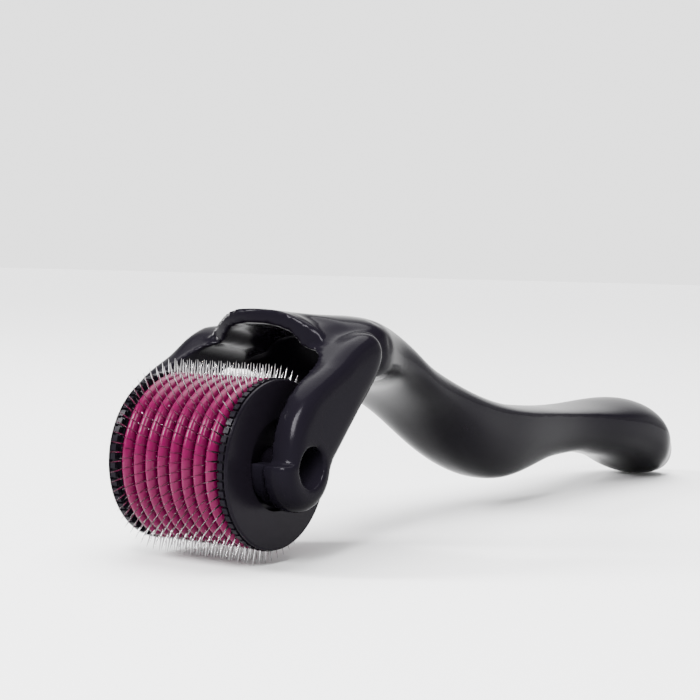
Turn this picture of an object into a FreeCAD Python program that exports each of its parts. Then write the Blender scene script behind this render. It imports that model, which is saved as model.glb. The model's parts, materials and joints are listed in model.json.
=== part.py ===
import FreeCAD, Part
import math
import os
import Sketcher
from FreeCAD import Vector

# Derma roller: a one-piece forked handle and a free-spinning needle drum.
# Every sub-part is drawn with the drum's axle at the origin, +X toward the handle's
# tail, +Y along the axle and +Z up.  Its Placement then lifts it onto the floor frame.

DOC = FreeCAD.newDocument("derma_roller")
SHEET = DOC.addObject("Spreadsheet::Sheet", "sheet")

# Driving dimensions in millimetres, angles in degrees.
SIZES = {
    # where the axle sits in the floor frame
    "axle_x": -52.5,
    "axle_z": 11.1,
    # drum
    "ring_pitch": 1.67,
    "ring_gap": 0.27,
    "ring_width": 1.4,
    "ring_bore": 7.65,
    "rim_radius": 9.0,
    "crown_arc": 0.73,
    "core_radius": 7.6,
    "core_bore": 5.6,
    "core_half": 6.78,
    # needles
    "needles_per_row": 60,
    "needle_root": 7.62,
    "needle_tip": 11.1,
    "needle_radius": 0.11,
    "needle_shoulder": 9.6,
    "needle_point": 0.015,
    # end caps
    "spigot_radius": 5.55,
    "spigot_inner": 4.0,
    "collar_inner": 6.815,
    "collar_radius": 8.9,
    "band_inner": 7.15,
    "band_outer": 7.8,
    "band_radius": 9.6,
    "groove_radius": 9.25,
    "flange_inner": 8.0,
    "flange_outer": 8.3,
    "flange_radius": 9.5,
    "flange_edge": 0.25,
    "recess_radius": 5.15,
    "recess_floor": 7.1,
    "stub_radius": 1.95,
    "stub_end": 9.3,
    "notch_half": 0.15,
    "notch_end": 7.9,
    # fork
    "fork_half": 12.9,
    "arm_inner": 9.9,
    "window_reach": 9.0,
    "arm_rounding": 1.8,
    "arm_hole_radius": 2.3,
    "boss_x": -0.3,
    "boss_z": -0.15,
    "boss_radius": 4.85,
    "cradle_bore": 2.0,
    "cradle_radius": 4.6,
    "cradle_inner": 7.6,
    "cradle_top": 0.5,
    # hood
    "hood_front": 6.0,
    "hood_back": 17.0,
    "rim_reach": 6.0,
    "hood_drop": 0.5,
    "roof_drop": 1.6,
    "hood_bow": 13.25,
    "thumb_radius": 26.0,
    "thumb_depth": 0.55,
    "thumb_x": 17.0,
    "thumb_top": 16.2,
    "dimple_radius": 0.62,
    "dimple_depth": 0.28,
    "dimple_pitch": 1.75,
    "patch_radius": 4.4,
    # grip
    "belly_square": 2.4,
}

# Handle stations from the yoke to the tail: distance behind the axle, top height,
# bottom height (both from the axle), half width, drop from the top to the widest
# point and squareness of the crown above it.
STATIONS = [
    (8.2, 16.85, 10.2, 8.6, 5.6, 2.4),
    (12.0, 16.45, 9.0, 10.5, 5.2, 3.0),
    (16.0, 16.25, 7.7, 11.6, 5.2, 4.0),
    (20.0, 16.05, 7.6, 10.6, 5.4, 3.5),
    (24.0, 15.5, 7.4, 9.4, 5.2, 2.8),
    (29.0, 13.7, 6.6, 8.6, 4.3, 2.4),
    (34.0, 11.3, 4.9, 8.1, 3.9, 2.2),
    (40.0, 8.9, 1.8, 7.6, 3.3, 2.1),
    (47.0, 6.5, -2.8, 7.4, 2.6, 2.0),
    (54.0, 4.55, -6.1, 7.2, 1.95, 2.0),
    (61.0, 3.25, -7.55, 7.0, 1.45, 2.0),
    (68.0, 2.5, -7.0, 6.6, 1.15, 2.0),
    (74.5, 2.0, -5.95, 6.25, 1.05, 2.0),
    (80.5, 1.7, -5.6, 6.2, 1.2, 2.0),
    (86.0, 1.6, -5.65, 6.6, 1.6, 2.0),
    (91.5, 1.7, -6.35, 7.2, 2.4, 2.0),
    (97.5, 1.95, -7.4, 7.7, 3.5, 2.0),
    (103.3, 1.75, -9.0, 7.9, 4.7, 2.0),
    (108.3, 0.2, -10.65, 7.4, 5.0, 2.0),
    (112.3, -2.5, -11.05, 6.0, 4.0, 2.0),
    (115.0, -5.5, -10.65, 4.0, 2.5, 2.0),
    (116.1, -7.9, -9.8, 1.3, 0.95, 2.0),
]
STATION_WORDS = ("run", "top", "bottom", "half", "drop", "crown")

# Outlines of the yoke.  The leaf is the arm seen from the side (x, z); the window is
# half of the opening between the arms seen from the front (y, z); the bridge is half
# of the raised hood rim seen from the front.
OUTLINES = {
    "leaf": [
        (5.0, 0.2), (7.2, 2.5), (8.8, 4.2), (10.8, 6.2), (12.8, 8.2), (14.3, 10.2),
        (14.8, 11.9), (14.4, 13.4), (13.1, 14.4), (11.2, 14.3), (8.3, 13.05),
        (5.5, 11.3), (3.2, 10.2), (1.1, 9.1), (-0.4, 8.0), (-1.7, 6.6), (-2.9, 4.7),
        (-3.5, 2.8), (-3.8, 0.7), (-3.6, -1.6), (-2.2, -3.4), (0.2, -4.1), (2.6, -3.2),
        (4.2, -1.5),
    ],
    "window": [
        (9.9, 8.2), (9.6, 10.2), (8.8, 11.7), (7.7, 12.5), (6.6, 12.75), (5.8, 13.05),
        (5.2, 13.8), (4.5, 14.5), (3.6, 14.9), (2.0, 15.2), (0.0, 15.3),
    ],
    "bridge": [
        (7.7, 12.6), (7.55, 13.6), (7.1, 14.5), (6.4, 15.3), (5.5, 15.95),
        (4.4, 16.45), (3.1, 16.8), (0.0, 17.0),
    ],
}


def tables():
    """Every dimension by alias: plain sizes, handle stations and outline points."""
    rows = dict(SIZES)
    for index, station in enumerate(STATIONS, start=1):
        for word, value in zip(STATION_WORDS, station):
            rows["grip_%s_%d" % (word, index)] = value
    for name, points in OUTLINES.items():
        for index, point in enumerate(points, start=1):
            rows["%s_across_%d" % (name, index)] = point[0]
            rows["%s_up_%d" % (name, index)] = point[1]
    return rows


def fill_sheet():
    """Write every driving dimension into the sheet under its own alias."""
    for number, (alias, value) in enumerate(tables().items(), start=1):
        SHEET.set("A%d" % number, alias)
        SHEET.set("B%d" % number, repr(value))
        SHEET.setAlias("B%d" % number, alias)
    DOC.recompute()


def size(alias):
    """The sheet's present value of one dimension."""
    return float(SHEET.get(alias))


def outline(name):
    """One outline's points, read back from the sheet."""
    count = len(OUTLINES[name])
    return [(size("%s_across_%d" % (name, i)), size("%s_up_%d" % (name, i)))
            for i in range(1, count + 1)]


def bind_placement(item, along="0 mm"):
    """Put an axle-centred item into the floor frame, driven by the sheet."""
    item.setExpression("Placement.Base.x", "sheet.axle_x")
    item.setExpression("Placement.Base.y", along)
    item.setExpression("Placement.Base.z", "sheet.axle_z")


def new_body(node, along="0 mm"):
    """An empty body named after its node."""
    body = DOC.addObject("PartDesign::Body", node)
    body.Label = node
    bind_placement(body, along)
    return body


def origin_feature(body, role):
    """One of the body's own origin planes or axes."""
    for feature in body.Origin.OriginFeatures:
        if feature.Role == role:
            return feature
    raise ValueError(role)


def new_sketch(body, name, role):
    """A sketch lying on one of the body's origin planes."""
    sketch = body.newObject("Sketcher::SketchObject", name)
    sketch.AttachmentSupport = (origin_feature(body, role), "")
    sketch.MapMode = "FlatFace"
    return sketch


def pin_corner(sketch, edge, corner):
    """Fix the start of one edge at two sheet dimensions (None means on the axis)."""
    for kind, alias, axis in zip(("DistanceX", "DistanceY"), corner, (-2, -1)):
        if alias is None:
            sketch.addConstraint(Sketcher.Constraint("PointOnObject", edge, 1, axis))
            continue
        number = sketch.addConstraint(
            Sketcher.Constraint(kind, -1, 1, edge, 1, size(alias)))
        sketch.setExpression("Constraints[%d]" % number, "sheet." + alias)


def draw_polygon(sketch, corners):
    """A closed outline of straight edges through corners named by sheet aliases."""
    places = [Vector(size(a) if a else 0, size(b) if b else 0, 0) for a, b in corners]
    count = len(places)
    for edge in range(count):
        segment = Part.LineSegment(places[edge], places[(edge + 1) % count])
        sketch.addGeometry(segment)
    for edge in range(count):
        following = (edge + 1) % count
        sketch.addConstraint(Sketcher.Constraint("Coincident", edge, 2, following, 1))
        pin_corner(sketch, edge, corners[edge])


def revolve(body, sketch, axis, name):
    """Turn a sketch a full circle about one of its own axes."""
    turned = body.newObject("PartDesign::Revolution", name)
    turned.Profile = sketch
    turned.ReferenceAxis = (sketch, [axis])
    turned.Angle = 360
    DOC.recompute()
    return turned


def repeat_round_axle(body, feature, name):
    """Repeat a feature once per needle round the axle."""
    pattern = body.newObject("PartDesign::PolarPattern", name)
    pattern.Originals = [feature]
    pattern.Axis = (origin_feature(body, "Y_Axis"), [""])
    pattern.Angle = 360
    pattern.setExpression("Occurrences", "sheet.needles_per_row")
    body.Tip = pattern
    DOC.recompute()
    return pattern


def make_core():
    """The tube that carries the rings."""
    body = new_body("drum_core")
    sketch = new_sketch(body, "core_wall", "XZ_Plane")
    for number, alias in enumerate(("core_radius", "core_bore")):
        circle = Part.Circle(Vector(0, 0, 0), Vector(0, 0, 1), size(alias))
        sketch.addGeometry(circle)
        sketch.addConstraint(Sketcher.Constraint("Coincident", number, 3, -1, 1))
        radius = sketch.addConstraint(Sketcher.Constraint("Radius", number, size(alias)))
        sketch.setExpression("Constraints[%d]" % radius, "sheet." + alias)
    pad = body.newObject("PartDesign::Pad", "core_tube")
    pad.Profile = sketch
    pad.Midplane = True
    pad.setExpression("Length", "2 * sheet.core_half")
    DOC.recompute()


def make_ring(number):
    """One ring of the drum, with a rounded crown."""
    along = "sheet.ring_pitch * %d + sheet.ring_gap / 2" % (number - 5)
    body = new_body("needle_ring_%d" % number, along)
    sketch = new_sketch(body, "ring_profile_%d" % number, "YZ_Plane")
    width = size("ring_width")
    bore = size("ring_bore")
    rim = size("rim_radius")
    arc = size("crown_arc")
    middle = Vector(width / 2, rim - math.sqrt(arc ** 2 - (width / 2) ** 2), 0)
    start = math.atan2(rim - middle.y, width / 2)
    sketch.addGeometry(Part.LineSegment(Vector(0, bore, 0), Vector(width, bore, 0)))
    sketch.addGeometry(Part.LineSegment(Vector(width, bore, 0), Vector(width, rim, 0)))
    circle = Part.Circle(middle, Vector(0, 0, 1), arc)
    sketch.addGeometry(Part.ArcOfCircle(circle, start, math.pi - start))
    sketch.addGeometry(Part.LineSegment(Vector(0, rim, 0), Vector(0, bore, 0)))
    joins = ((0, 2, 1, 1), (1, 2, 2, 1), (2, 2, 3, 1), (3, 2, 0, 1))
    for join in joins:
        sketch.addConstraint(Sketcher.Constraint("Coincident", *join))
    pin_corner(sketch, 0, (None, "ring_bore"))
    pin_corner(sketch, 1, ("ring_width", "ring_bore"))
    pin_corner(sketch, 3, (None, "rim_radius"))
    sketch.addConstraint(Sketcher.Constraint("Vertical", 1))
    sketch.addConstraint(Sketcher.Constraint("Horizontal", 2, 1, 2, 2))
    radius = sketch.addConstraint(Sketcher.Constraint("Radius", 2, arc))
    sketch.setExpression("Constraints[%d]" % radius, "sheet.crown_arc")
    revolve(body, sketch, "H_Axis", "ring_turned_%d" % number)


def make_needle_row(number):
    """Sixty separate needles standing out between two neighbouring rings."""
    along = "sheet.ring_pitch * %d" % (number - 5)
    body = new_body("needle_row_%d" % number, along)
    body.AllowCompound = True
    if number % 2 == 0:
        body.setExpression("Placement.Rotation.Axis.x", "0")
        body.setExpression("Placement.Rotation.Axis.y", "1")
        body.setExpression("Placement.Rotation.Axis.z", "0")
        body.setExpression("Placement.Rotation.Angle", "180 / sheet.needles_per_row")
    sketch = new_sketch(body, "needle_profile_%d" % number, "YZ_Plane")
    draw_polygon(sketch, [
        (None, "needle_root"),
        ("needle_radius", "needle_root"),
        ("needle_radius", "needle_shoulder"),
        ("needle_point", "needle_tip"),
        (None, "needle_tip"),
    ])
    needle = revolve(body, sketch, "V_Axis", "needle_%d" % number)
    repeat_round_axle(body, needle, "needle_circle_%d" % number)


def make_cap(side):
    """An end cap: spigot, collar, notched band, groove, flange, recess and stub."""
    body = new_body(side + "_end_cap")
    if side == "right":
        body.setExpression("Placement.Rotation.Axis.x", "0")
        body.setExpression("Placement.Rotation.Axis.y", "0")
        body.setExpression("Placement.Rotation.Axis.z", "1")
        body.setExpression("Placement.Rotation.Angle", "180")
    sketch = new_sketch(body, side + "_cap_profile", "YZ_Plane")
    draw_polygon(sketch, [
        ("spigot_inner", None),
        ("spigot_inner", "spigot_radius"),
        ("collar_inner", "spigot_radius"),
        ("collar_inner", "collar_radius"),
        ("band_inner", "collar_radius"),
        ("band_inner", "band_radius"),
        ("band_outer", "band_radius"),
        ("band_outer", "groove_radius"),
        ("flange_inner", "groove_radius"),
        ("flange_inner", "flange_radius"),
        ("flange_outer", "flange_radius"),
        ("flange_outer", "recess_radius"),
        ("recess_floor", "recess_radius"),
        ("recess_floor", "stub_radius"),
        ("stub_end", "stub_radius"),
        ("stub_end", None),
    ])
    turned = revolve(body, sketch, "H_Axis", side + "_cap_turned")
    round_flange(body, turned, side)
    notch = cut_notch(body, side)
    repeat_round_axle(body, notch, side + "_cap_notches")


def round_flange(body, turned, side):
    """Round the outer edge of a cap's flange."""
    outer = size("flange_outer")
    radius = size("flange_radius")
    names = []
    for number, edge in enumerate(turned.Shape.Edges, start=1):
        place = edge.Vertexes[0].Point
        if abs(place.y - outer) < 0.01 and abs(math.hypot(place.x, place.z) - radius) < 0.01:
            if edge.BoundBox.YLength < 0.01:
                names.append("Edge%d" % number)
    fillet = body.newObject("PartDesign::Fillet", side + "_flange_round")
    fillet.Base = (turned, names)
    fillet.setExpression("Radius", "sheet.flange_edge")
    DOC.recompute()


def cut_notch(body, side):
    """One notch through the band on the cap's rim, cut down from above."""
    sketch = new_sketch(body, side + "_notch", "YZ_Plane")
    draw_polygon(sketch, [
        ("spigot_inner", "groove_radius"),
        ("notch_end", "groove_radius"),
        ("notch_end", "needle_tip"),
        ("spigot_inner", "needle_tip"),
    ])
    pocket = body.newObject("PartDesign::Pocket", side + "_notch_cut")
    pocket.Profile = sketch
    pocket.Midplane = True
    pocket.setExpression("Length", "2 * sheet.notch_half")
    DOC.recompute()
    return pocket


def section_point(turn, station):
    """A point of one handle section: a crown above its widest line, a belly below."""
    run, top, bottom, half, drop, crown = station
    level = top - drop
    upper = math.sin(turn) >= 0
    square = crown if upper else size("belly_square")
    tall = drop if upper else level - bottom
    across = math.copysign(abs(math.cos(turn)) ** (2 / square), math.cos(turn))
    up = math.copysign(abs(math.sin(turn)) ** (2 / square), math.sin(turn))
    return Vector(run, half * across, level + tall * up)


def section_wire(number):
    """One closed handle section standing across the handle."""
    station = [size("grip_%s_%d" % (word, number)) for word in STATION_WORDS]
    steps = 40
    points = [section_point(2 * math.pi * step / steps, station) for step in range(steps)]
    curve = Part.BSplineCurve()
    curve.interpolate(Points=points, PeriodicFlag=True)
    return Part.Wire([curve.toShape()])


def grip_solid():
    """The curved grip, lofted through its sections from the yoke to the tail."""
    wires = [section_wire(number) for number in range(1, len(STATIONS) + 1)]
    return Part.makeLoft(wires, True, False)


def leaf_face():
    """The arm's side view: a long leaf ending in a half circle round the axle."""
    points = [Vector(x, 0, z) for x, z in outline("leaf")]
    curve = Part.BSplineCurve()
    curve.interpolate(Points=points, PeriodicFlag=True)
    return Part.Face(Part.Wire([curve.toShape()]))


def fork_solid():
    """Both arms in one slab, rounded along the outer edges."""
    half = size("fork_half")
    face = leaf_face().translated(Vector(0, -half, 0))
    slab = face.extrude(Vector(0, 2 * half, 0))
    rims = [edge for edge in slab.Edges
            if abs(abs(edge.BoundBox.YMin) - half) < 0.01 and edge.BoundBox.YLength < 0.01]
    return slab.makeFillet(size("arm_rounding"), rims)


def mirrored_curve(name, x):
    """A smooth curve through an outline's points and their mirror images."""
    points = [Vector(x, y, z) for y, z in outline(name)]
    mirrored = [Vector(p.x, -p.y, p.z) for p in reversed(points[:-1])]
    curve = Part.BSplineCurve()
    curve.interpolate(Points=points + mirrored)
    return curve.toShape()


def boss_solid(side):
    """The rounded arm end below the axle, with a flat top."""
    inner = side * (size("arm_inner") - 0.2)
    length = size("fork_half") - size("arm_inner") + 0.2
    along = Vector(0, side, 0)
    boss = Part.makeCylinder(size("boss_radius"), length,
                             Vector(size("boss_x"), inner, size("boss_z")), along)
    rim = [edge for edge in boss.Edges
           if abs(abs(edge.BoundBox.YMin) - size("fork_half")) < 0.01
           and edge.BoundBox.YLength < 0.01]
    boss = boss.makeFillet(size("arm_rounding"), rim)
    return boss.cut(space_above(inner, side * length))


def space_above(start, reach):
    """The space over an open cradle or boss, between two places along the axle."""
    low = min(start, start + reach)
    return Part.makeBox(20, abs(reach), 20, Vector(-10, low, size("cradle_top")))


def window_solid():
    """The space between the arms and under the hood, with a roof that falls back."""
    front = size("hood_front")
    low = -size("window_reach")
    curve = mirrored_curve("window", front)
    first, last = curve.Vertexes[0].Point, curve.Vertexes[-1].Point
    corners = [last, Vector(front, last.y, low), Vector(front, first.y, low), first]
    wire = Part.Wire([curve] + Part.makePolygon(corners).Edges)
    face = Part.Face(wire)
    ahead = face.extrude(Vector(low - front, 0, 0))
    behind = face.extrude(Vector(size("hood_back") - front, 0, -size("roof_drop")))
    return ahead.fuse(behind)


def bridge_solid():
    """The raised hood rim that arches over the window, bowed forward in plan."""
    front = size("hood_front")
    curve = mirrored_curve("bridge", front)
    foot = Part.makeLine(curve.Vertexes[-1].Point, curve.Vertexes[0].Point)
    arch = Part.Face(Part.Wire([curve, foot]))
    arch = arch.extrude(Vector(size("rim_reach"), 0, -size("hood_drop")))
    bow = size("hood_bow")
    drum = Part.makeCylinder(bow, 40, Vector(front + bow, 0, 0), Vector(0, 0, 1))
    return arch.common(drum)


def thumb_ball():
    """A large ball that presses the shallow thumb rest into the hood."""
    radius = size("thumb_radius")
    height = size("thumb_top") + radius - size("thumb_depth")
    return Part.makeSphere(radius, Vector(size("thumb_x"), 0, height))


def dimple_balls():
    """Small balls in staggered rows that press the dimples into the thumb rest."""
    pitch = size("dimple_pitch")
    row_pitch = pitch * math.sqrt(3) / 2
    floor = size("thumb_top") - size("thumb_depth")
    balls = []
    for row in range(-3, 4):
        for place in range(-4, 5):
            x = row * row_pitch
            y = (place + 0.5 * (row % 2)) * pitch
            reach = math.hypot(x, y)
            if reach > size("patch_radius"):
                continue
            surface = floor + reach ** 2 / (2 * size("thumb_radius"))
            height = surface + size("dimple_radius") - size("dimple_depth")
            balls.append(Part.makeSphere(size("dimple_radius"),
                                         Vector(size("thumb_x") + x, y, height)))
    return balls


def cradle_solid(side):
    """The half-open bearing that stands inward from one arm and carries the stub."""
    inner = side * size("cradle_inner")
    length = size("arm_inner") - size("cradle_inner") + 0.5
    start = Vector(0, inner, 0)
    along = Vector(0, side, 0)
    post = Part.makeCylinder(size("cradle_radius"), length, start, along)
    bore = Part.makeCylinder(size("cradle_bore"), length, start, along)
    return post.cut(bore).cut(space_above(inner, side * length))


def arm_hole(side):
    """The round hole through one arm."""
    length = size("fork_half") - size("arm_inner") + 1
    start = Vector(0, side * size("arm_inner"), 0)
    return Part.makeCylinder(size("arm_hole_radius"), length, start, Vector(0, side, 0))


def make_handle():
    """The one-piece handle: grip, fork, hood rim and the two cradles."""
    sides = (1, -1)
    shape = grip_solid().fuse([fork_solid(), bridge_solid()])
    shape = shape.fuse([boss_solid(side) for side in sides])
    shape = shape.cut(window_solid()).cut(thumb_ball()).cut(dimple_balls())
    shape = shape.fuse([cradle_solid(side) for side in sides])
    shape = shape.cut([arm_hole(side) for side in sides])
    handle = DOC.addObject("Part::Feature", "handle")
    handle.Label = "handle"
    handle.Shape = shape.removeSplitter()
    bind_placement(handle)


def export_all():
    """Check every sub-part and write it to its own file."""
    DOC.recompute()
    os.makedirs("parts", exist_ok=True)
    for item in DOC.Objects:
        wrong = {"Invalid", "Error"} & set(item.State)
        if wrong:
            raise RuntimeError("%s: %s" % (item.Label, wrong))
    for item in DOC.Objects:
        if item.TypeId not in ("PartDesign::Body", "Part::Feature"):
            continue
        if item.Shape.isNull() or not item.Shape.isValid():
            raise RuntimeError("bad shape: " + item.Label)
        item.Shape.exportStep("parts/%s.step" % item.Label)


fill_sheet()
make_handle()
make_core()
for ring in range(1, 9):
    make_ring(ring)
for row in range(1, 10):
    make_needle_row(row)
for cap_side in ("left", "right"):
    make_cap(cap_side)
export_all()
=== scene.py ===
import json
import math

import bpy
import numpy as np
from mathutils import Matrix, Vector


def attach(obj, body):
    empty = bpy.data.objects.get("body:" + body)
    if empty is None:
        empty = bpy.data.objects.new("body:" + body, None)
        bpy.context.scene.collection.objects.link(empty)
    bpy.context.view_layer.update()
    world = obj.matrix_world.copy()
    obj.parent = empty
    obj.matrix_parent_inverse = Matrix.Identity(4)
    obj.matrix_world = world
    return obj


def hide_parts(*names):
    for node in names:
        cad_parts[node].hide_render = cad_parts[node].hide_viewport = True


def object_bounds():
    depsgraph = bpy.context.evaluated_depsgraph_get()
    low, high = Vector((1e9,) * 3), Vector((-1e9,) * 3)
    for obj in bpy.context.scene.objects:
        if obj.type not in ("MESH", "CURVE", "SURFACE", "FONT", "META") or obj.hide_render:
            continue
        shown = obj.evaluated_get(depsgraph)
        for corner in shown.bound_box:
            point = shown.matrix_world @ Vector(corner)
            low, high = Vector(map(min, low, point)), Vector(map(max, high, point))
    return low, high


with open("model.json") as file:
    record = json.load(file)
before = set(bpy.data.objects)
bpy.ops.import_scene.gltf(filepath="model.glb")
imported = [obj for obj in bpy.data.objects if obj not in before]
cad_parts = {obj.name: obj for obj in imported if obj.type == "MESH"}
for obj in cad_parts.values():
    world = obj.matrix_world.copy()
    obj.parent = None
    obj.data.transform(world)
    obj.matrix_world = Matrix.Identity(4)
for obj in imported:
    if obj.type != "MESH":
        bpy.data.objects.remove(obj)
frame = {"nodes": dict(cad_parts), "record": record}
CAD_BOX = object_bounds()

MM = 0.001
JOINT = frame["record"]["behaviour"]["joints"][0]
AXLE = Vector(JOINT["pos_m"])

# Camera: where it stands from the axle, where it looks, which way is up for it, its lens
# and sensor in millimetres, and the nearest and farthest it sees in metres.
CAMERA_FROM_AXLE = Vector((-157.9, -123.0, 22.2)) * MM
CAMERA_LOOK = Vector((0.8298, 0.5550, -0.0479))
CAMERA_UP = Vector((0.0282, 0.0440, 0.9987))
CAMERA_LENS = 91.4
CAMERA_SENSOR = 36.0
CAMERA_NEAREST = 0.01
CAMERA_FARTHEST = 20.0

# The handle's skin: the spacing of its fine mesh, and the rounds of plain smoothing that
# take the remesh's small steps away.
SKIN_SPACING = 0.32 * MM
SKIN_SMOOTHING = 2

# Every length from here to TIP_LENGTH is in millimetres, and places are from the axle.
# Grip stations, the same rows as the CAD handle's loft: distance behind the axle, top,
# bottom, half width, drop from the top to the widest line, and squareness above it.
GRIP_STATIONS = np.array([
    (8.2, 16.85, 10.2, 8.6, 5.6, 2.4),
    (12.0, 16.45, 9.0, 10.5, 5.2, 3.0),
    (16.0, 16.25, 7.7, 11.6, 5.2, 4.0),
    (20.0, 16.05, 7.6, 10.6, 5.4, 3.5),
    (24.0, 15.5, 7.4, 9.4, 5.2, 2.8),
    (29.0, 13.7, 6.6, 8.6, 4.3, 2.4),
    (34.0, 11.3, 4.9, 8.1, 3.9, 2.2),
    (40.0, 8.9, 1.8, 7.6, 3.3, 2.1),
    (47.0, 6.5, -2.8, 7.4, 2.6, 2.0),
    (54.0, 4.55, -6.1, 7.2, 1.95, 2.0),
    (61.0, 3.25, -7.55, 7.0, 1.45, 2.0),
    (68.0, 2.5, -7.0, 6.6, 1.15, 2.0),
    (74.5, 2.0, -5.95, 6.25, 1.05, 2.0),
    (80.5, 1.7, -5.6, 6.2, 1.2, 2.0),
    (86.0, 1.6, -5.65, 6.6, 1.6, 2.0),
    (91.5, 1.7, -6.35, 7.2, 2.4, 2.0),
    (97.5, 1.95, -7.4, 7.7, 3.5, 2.0),
    (103.3, 1.75, -9.0, 7.9, 4.7, 2.0),
    (108.3, 0.2, -10.65, 7.4, 5.0, 2.0),
    (112.3, -2.5, -11.05, 6.0, 4.0, 2.0),
    (115.0, -5.5, -10.65, 4.0, 2.5, 2.0),
    (116.1, -7.9, -9.8, 1.3, 0.95, 2.0),
])
# Squareness of every section below its widest line.
BELLY_SQUARE = 2.4
# A point this near the middle of its section is moved out no further than one here.
LEAST_REACH = 0.05

# Where the yoke, its thumb rest and the tail's tip lie.
YOKE_START = 8.0
YOKE_END = 26.0
YOKE_UNDERSIDE = 4.0
THUMB_X = 17.0
THUMB_REACH = 5.5
TAIL_END = 114.0

# How near the grip's surface a point must be to settle on it: this near over the yoke,
# this much more at the neck, and this much more again along the grip.
SNAP_YOKE = 0.10
SNAP_NECK = 0.25
SNAP_GRIP = 2.0

# How much of the way to its neighbours' mean a point moves in a round, and the rounds.
RELAX_SHARE = 0.5
YOKE_ROUNDS = 10
TAIL_ROUNDS = 36

# The length over which each change comes in.
NECK_FADE = 8.0
GRIP_FADE = 4.0
FRONT_FADE = 2.0
YOKE_END_FADE = 3.0
UNDERSIDE_FADE = 2.0
THUMB_FADE = 1.5
TAIL_FADE = 1.0
TIP_LENGTH = 4.0

# Base colours.
HANDLE_INK = (0.0019, 0.0016, 0.0025, 1.0)
CAP_INK = (0.0050, 0.0040, 0.0062, 1.0)
INK_TINT = (0.96, 0.93, 1.0, 1.0)
MAGENTA = (0.092, 0.0002, 0.030, 1.0)
STEEL = (0.46, 0.445, 0.455, 1.0)
FLOOR_WHITE = (0.93, 0.93, 0.935, 1.0)
PURE_WHITE = (1.0, 1.0, 1.0, 1.0)
FLOOR_SIZE = 8.0

# The room: the way to its bright wall, its three strengths, how squarely a direction
# faces the wall where the glow starts and is full, and how steeply a direction rises
# where the pale band at table height starts to fade and is gone.
BACK_WALL = (0.83, 0.555, 0.0)
ROOM_DIM = 0.30
ROOM_PALE = 1.7
ROOM_BRIGHT = 2.4
WALL_STARTS = 0.66
WALL_FULL = 0.91
LEVEL_FADES = 0.16
LEVEL_GONE = 0.42

# Lamps: the way up to the overhead one, with its power and spread, then the area lamps,
# each with its place, width, height and power. The gloss lamps light the handle alone.
OVERHEAD_FROM = Vector((0.25, 0.14, 1.0))
OVERHEAD_POWER = 8.2
OVERHEAD_SPREAD = math.radians(60)
LAMP_TARGET = Vector((-0.045, 0.0, 0.01))
BANKS = {
    "top_front": ((-0.50, -0.21, 0.47), 0.07, 0.26, 5.5),
    "left_bank": ((-0.36, 0.44, 0.35), 0.07, 0.28, 9.0),
}
GLOSS_LAMPS = {
    "gloss_front": ((-0.46, -0.30, 0.46), 0.24, 0.40, 46.0),
    "gloss_left": ((0.03, 0.60, 0.14), 0.18, 0.18, 3.0),
}


def set_sockets(node, **values):
    """Set some of a node's input sockets, with _ for each space in a socket's name."""
    for name, value in values.items():
        node.inputs[name.replace("_", " ")].default_value = value


def add_node(tree, kind, **values):
    """One shader node with some of its input sockets set."""
    node = tree.nodes.new(kind)
    set_sockets(node, **values)
    return node


def new_material(name):
    """A node material, its node tree and its shader."""
    material = bpy.data.materials.new(name)
    material.use_nodes = True
    tree = material.node_tree
    shader = tree.nodes["Principled BSDF"]
    return material, tree, shader


def object_noise(tree, scale, detail=3.0):
    """Noise fixed to the piece's own coordinates."""
    place = tree.nodes.new("ShaderNodeTexCoord")
    noise = add_node(tree, "ShaderNodeTexNoise", Scale=scale, Detail=detail, Roughness=0.5)
    tree.links.new(place.outputs["Object"], noise.inputs["Vector"])
    return noise


def vary(tree, source, socket, low, high):
    """Drive a socket from a noise, between two values."""
    spread = add_node(tree, "ShaderNodeMapRange", To_Min=low, To_Max=high)
    tree.links.new(source.outputs["Fac"], spread.inputs["Value"])
    tree.links.new(spread.outputs["Result"], socket)


def bump(tree, shader, source, strength, distance):
    """A faint surface relief."""
    relief = add_node(tree, "ShaderNodeBump", Strength=strength, Distance=distance)
    tree.links.new(source.outputs["Fac"], relief.inputs["Height"])
    tree.links.new(relief.outputs["Normal"], shader.inputs["Normal"])


def black_plastic(name, colour, rough_low, rough_high, gloss):
    """Glossy near-black moulded plastic with a slight violet cast."""
    material, tree, shader = new_material(name)
    set_sockets(shader, Base_Color=colour, IOR=1.46, Specular_IOR_Level=gloss)
    set_sockets(shader, Specular_Tint=INK_TINT)
    noise = object_noise(tree, scale=55.0)
    vary(tree, noise, shader.inputs["Roughness"], rough_low, rough_high)
    ripple = object_noise(tree, scale=240.0, detail=2.0)
    bump(tree, shader, ripple, strength=0.04, distance=0.02 * MM)
    return material


def magenta_plastic(name):
    """Magenta plastic that lets a little light through."""
    material, tree, shader = new_material(name)
    set_sockets(shader, Base_Color=MAGENTA, IOR=1.50, Specular_IOR_Level=0.08)
    set_sockets(shader, Transmission_Weight=0.05)
    noise = object_noise(tree, scale=900.0)
    vary(tree, noise, shader.inputs["Roughness"], low=0.16, high=0.28)
    return material


def needle_steel():
    """Drawn steel."""
    material, tree, shader = new_material("needle_steel")
    set_sockets(shader, Base_Color=STEEL, Metallic=1.0)
    noise = object_noise(tree, scale=1500.0)
    vary(tree, noise, shader.inputs["Roughness"], low=0.16, high=0.28)
    return material


def floor_material():
    """The pale, matt top of a product photographer's table."""
    material, tree, shader = new_material("pale_table")
    set_sockets(shader, Base_Color=FLOOR_WHITE, Specular_IOR_Level=0.1)
    noise = object_noise(tree, scale=6.0)
    vary(tree, noise, shader.inputs["Roughness"], low=0.62, high=0.72)
    return material


def paint(node, material):
    """Give one CAD node its material."""
    mesh = frame["nodes"][node].data
    mesh.materials.clear()
    mesh.materials.append(material)


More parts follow.
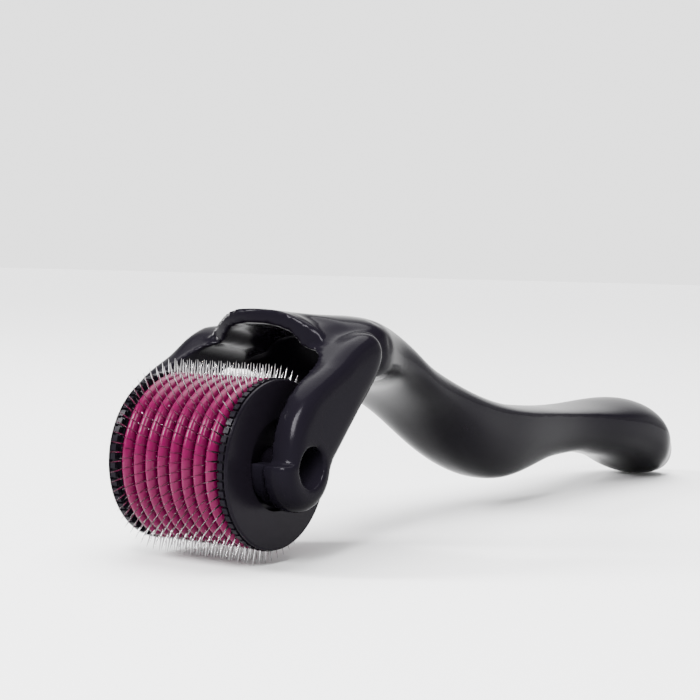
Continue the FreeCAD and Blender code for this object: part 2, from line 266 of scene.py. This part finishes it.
def paint_all():
    """Materials for every CAD node, by the record's material slots."""
    finishes = {
        "handle_plastic": black_plastic(
            "handle_plastic", HANDLE_INK, rough_low=0.15, rough_high=0.21, gloss=0.02),
        "cap_plastic": black_plastic(
            "cap_plastic", CAP_INK, rough_low=0.22, rough_high=0.30, gloss=0.04),
        "core_plastic": magenta_plastic("core_plastic"),
        "ring_plastic": magenta_plastic("ring_plastic"),
        "needle_steel": needle_steel(),
    }
    for part in frame["record"]["subparts"]:
        paint(part["node"], finishes[part["material_slot"]])
    return finishes


def smooth_columns(runs, table, places):
    """A natural cubic spline through each column of a table, read at some places."""
    gaps = np.diff(runs)
    slopes = np.diff(table, axis=0) / gaps[:, None]
    count = len(runs)
    system = np.eye(count)
    for row in range(1, count - 1):
        system[row, row - 1] = gaps[row - 1]
        system[row, row] = 2 * (gaps[row - 1] + gaps[row])
        system[row, row + 1] = gaps[row]
    right = np.zeros_like(table)
    right[1:-1] = 6 * np.diff(slopes, axis=0)
    bends = np.linalg.solve(system, right)
    index = np.clip(np.searchsorted(runs, places) - 1, 0, count - 2)
    gap = gaps[index][:, None]
    ahead = (runs[index + 1] - places)[:, None]
    behind = (places - runs[index])[:, None]
    curve = (bends[index] * ahead ** 3 + bends[index + 1] * behind ** 3) / (6 * gap)
    curve += (table[index] / gap - bends[index] * gap / 6) * ahead
    curve += (table[index + 1] / gap - bends[index + 1] * gap / 6) * behind
    return curve


def rising(distance, length):
    """Nothing short of an edge, rising to full at some length past it."""
    return np.clip(distance / length, 0, 1)


def on_grip(points):
    """Each point moved, within its own section, onto the grip's smooth surface."""
    runs = GRIP_STATIONS[:, 0]
    places = np.clip(points[:, 0], runs[0], runs[-1])
    top, bottom, half, drop, crown = smooth_columns(runs, GRIP_STATIONS[:, 1:], places).T
    level = top - drop
    rise = points[:, 2] - level
    upper = rise >= 0
    square = np.where(upper, crown, BELLY_SQUARE)
    tall = np.where(upper, drop, level - bottom)
    reach = np.abs(points[:, 1] / half) ** square + np.abs(rise / tall) ** square
    scale = np.maximum(reach, LEAST_REACH) ** (-1 / square)
    moved = points.copy()
    moved[:, 1] = points[:, 1] * scale
    moved[:, 2] = level + rise * scale
    return moved


def settle(points):
    """Points of the skin that lie by the grip's surface, brought onto it."""
    run = points[:, 0]
    moved = on_grip(points)
    away = np.linalg.norm(moved - points, axis=1)
    at_neck = rising(run - YOKE_END + NECK_FADE, NECK_FADE)
    on_the_grip = rising(run - YOKE_END, GRIP_FADE)
    near = SNAP_YOKE + SNAP_NECK * at_neck + SNAP_GRIP * on_the_grip
    share = rising(2 * near - away, near)
    share *= rising(run - GRIP_STATIONS[0, 0], FRONT_FADE)
    share *= rising(TAIL_END - run, TAIL_FADE)
    return points + (moved - points) * share[:, None]


def relax(mesh, points, share, rounds):
    """Points drawn towards the mean of their neighbours, each by its own share."""
    ends = np.empty(len(mesh.edges) * 2, dtype=int)
    mesh.edges.foreach_get("vertices", ends)
    ends = ends.reshape(-1, 2)
    near = share[ends].max(axis=1) > 0
    start = np.concatenate((ends[near, 0], ends[near, 1]))
    finish = np.concatenate((ends[near, 1], ends[near, 0]))
    count = np.maximum(np.bincount(start, minlength=len(points)), 1)
    for _ in range(rounds):
        sums = [np.bincount(start, points[finish, axis], len(points)) for axis in range(3)]
        mean = np.stack(sums, axis=1) / count[:, None]
        points = points + (mean - points) * share[:, None]
    return points


def yoke_share(points):
    """Full over the yoke where the arms grow out of it, none at the dimpled thumb rest."""
    run, side, height = points.T
    past_thumb = np.hypot(run - THUMB_X, side) - THUMB_REACH
    share = RELAX_SHARE * rising(run - YOKE_START, FRONT_FADE)
    share *= rising(YOKE_END - run, YOKE_END_FADE)
    share *= rising(height - YOKE_UNDERSIDE, UNDERSIDE_FADE)
    return share * rising(past_thumb, THUMB_FADE)


def tail_share(points):
    """Full at the rounded tip of the tail."""
    return RELAX_SHARE * rising(points[:, 0] - TAIL_END + TIP_LENGTH, TIP_LENGTH)


def fine_copy(node, name):
    """A finely and evenly meshed copy of a CAD node, in the frame's own coordinates."""
    source = frame["nodes"][node]
    mesh = source.data.copy()
    mesh.transform(source.matrix_world)
    rough = bpy.data.objects.new(name + "_rough", mesh)
    bpy.context.collection.objects.link(rough)
    remesh = rough.modifiers.new("remesh", "REMESH")
    remesh.mode = "VOXEL"
    remesh.voxel_size = SKIN_SPACING
    smooth = rough.modifiers.new("smooth", "SMOOTH")
    smooth.factor = 0.5
    smooth.iterations = SKIN_SMOOTHING
    evaluated = rough.evaluated_get(bpy.context.evaluated_depsgraph_get())
    fine = bpy.data.meshes.new_from_object(evaluated)
    fine.name = name
    bpy.data.objects.remove(rough)
    piece = bpy.data.objects.new(name, fine)
    bpy.context.collection.objects.link(piece)
    return piece


def make_handle_skin(material):
    """The visible handle: a fine copy of the CAD one, settled on the grip's sections,
    softened at the yoke and the tail's tip, and kept inside the CAD box."""
    skin = fine_copy("handle", "handle_skin")
    mesh = skin.data
    points = np.empty(len(mesh.vertices) * 3)
    mesh.vertices.foreach_get("co", points)
    points = points.reshape(-1, 3)
    axle = np.array(AXLE)
    points = settle((points - axle) / MM)
    points = relax(mesh, points, yoke_share(points), YOKE_ROUNDS)
    points = relax(mesh, points, tail_share(points), TAIL_ROUNDS) * MM + axle
    low, high = np.array(CAD_BOX[0]), np.array(CAD_BOX[1])
    points = np.clip(points, low, high)
    mesh.vertices.foreach_set("co", points.ravel())
    mesh.shade_smooth()
    mesh.materials.clear()
    mesh.materials.append(material)
    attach(skin, "handle_body")
    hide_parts("handle")
    return skin


def make_camera():
    """The camera, at the height and turn from which the roller is shown."""
    data = bpy.data.cameras.new("camera")
    data.lens = CAMERA_LENS
    data.sensor_width = CAMERA_SENSOR
    data.clip_start = CAMERA_NEAREST
    data.clip_end = CAMERA_FARTHEST
    camera = bpy.data.objects.new("camera", data)
    back = -CAMERA_LOOK.normalized()
    right = CAMERA_UP.cross(back).normalized()
    up = back.cross(right)
    turn = Matrix((right, up, back)).transposed().to_4x4()
    camera.matrix_world = Matrix.Translation(AXLE + CAMERA_FROM_AXLE) @ turn
    bpy.context.collection.objects.link(camera)
    bpy.context.scene.camera = camera


def make_floor():
    """A wide pale sheet that the roller lies on."""
    bpy.ops.mesh.primitive_plane_add(size=FLOOR_SIZE, location=(0, 0, 0))
    floor = bpy.context.object
    floor.name = "floor"
    floor.data.materials.append(floor_material())


def overhead_light():
    """One broad, even light that falls on the whole table."""
    data = bpy.data.lights.new("overhead", "SUN")
    data.energy = OVERHEAD_POWER
    data.angle = OVERHEAD_SPREAD
    lamp = bpy.data.objects.new("overhead", data)
    lamp.rotation_euler = OVERHEAD_FROM.to_track_quat("Z", "Y").to_euler()
    bpy.context.collection.objects.link(lamp)


def area_light(name, place, width, height, power):
    """One soft rectangular lamp aimed at the roller."""
    data = bpy.data.lights.new(name, "AREA")
    data.shape = "RECTANGLE"
    data.size = width
    data.size_y = height
    data.energy = power
    lamp = bpy.data.objects.new(name, data)
    lamp.location = place
    lamp.rotation_euler = (LAMP_TARGET - Vector(place)).to_track_quat("-Z", "Y").to_euler()
    bpy.context.collection.objects.link(lamp)
    return lamp


def fall_only_on(lamp, piece):
    """Keep a lamp's light to one piece, for its gloss."""
    lit = bpy.data.collections.new(lamp.name + "_lit")
    lit.objects.link(piece)
    lamp.light_linking.receiver_collection = lit


def make_lights(skin):
    """One broad light overhead, banks at the front and the left, and two gloss lamps
    that light only the handle's skin."""
    overhead_light()
    for name, lamp in BANKS.items():
        area_light(name, *lamp)
    for name, lamp in GLOSS_LAMPS.items():
        fall_only_on(area_light(name, *lamp), skin)


def fade(tree, source, start, stop, low, high):
    """A smooth change from low to high as the source runs from start to stop."""
    ramp = add_node(
        tree, "ShaderNodeMapRange", From_Min=start, From_Max=stop, To_Min=low, To_Max=high)
    ramp.interpolation_type = "SMOOTHSTEP"
    tree.links.new(source, ramp.inputs["Value"])
    return ramp.outputs["Result"]


def make_world():
    """A pale room: brightest behind the table, pale at table height, dim overhead."""
    world = bpy.data.worlds.new("studio")
    world.use_nodes = True
    tree = world.node_tree
    place = tree.nodes.new("ShaderNodeTexCoord")
    facing = tree.nodes.new("ShaderNodeVectorMath")
    facing.operation = "DOT_PRODUCT"
    facing.inputs[1].default_value = BACK_WALL
    rise = tree.nodes.new("ShaderNodeSeparateXYZ")
    tree.links.new(place.outputs["Generated"], facing.inputs[0])
    tree.links.new(place.outputs["Generated"], rise.inputs["Vector"])
    wall = fade(tree, facing.outputs["Value"], WALL_STARTS, WALL_FULL, ROOM_DIM, ROOM_BRIGHT)
    level = fade(tree, rise.outputs["Z"], LEVEL_FADES, LEVEL_GONE, ROOM_PALE, ROOM_DIM)
    brighter = tree.nodes.new("ShaderNodeMath")
    brighter.operation = "MAXIMUM"
    tree.links.new(wall, brighter.inputs[0])
    tree.links.new(level, brighter.inputs[1])
    shade = tree.nodes["Background"]
    tree.links.new(brighter.outputs["Value"], shade.inputs["Strength"])
    set_sockets(shade, Color=PURE_WHITE)
    bpy.context.scene.world = world


finishes = paint_all()
skin = make_handle_skin(finishes["handle_plastic"])
make_floor()
make_world()
make_lights(skin)
make_camera()
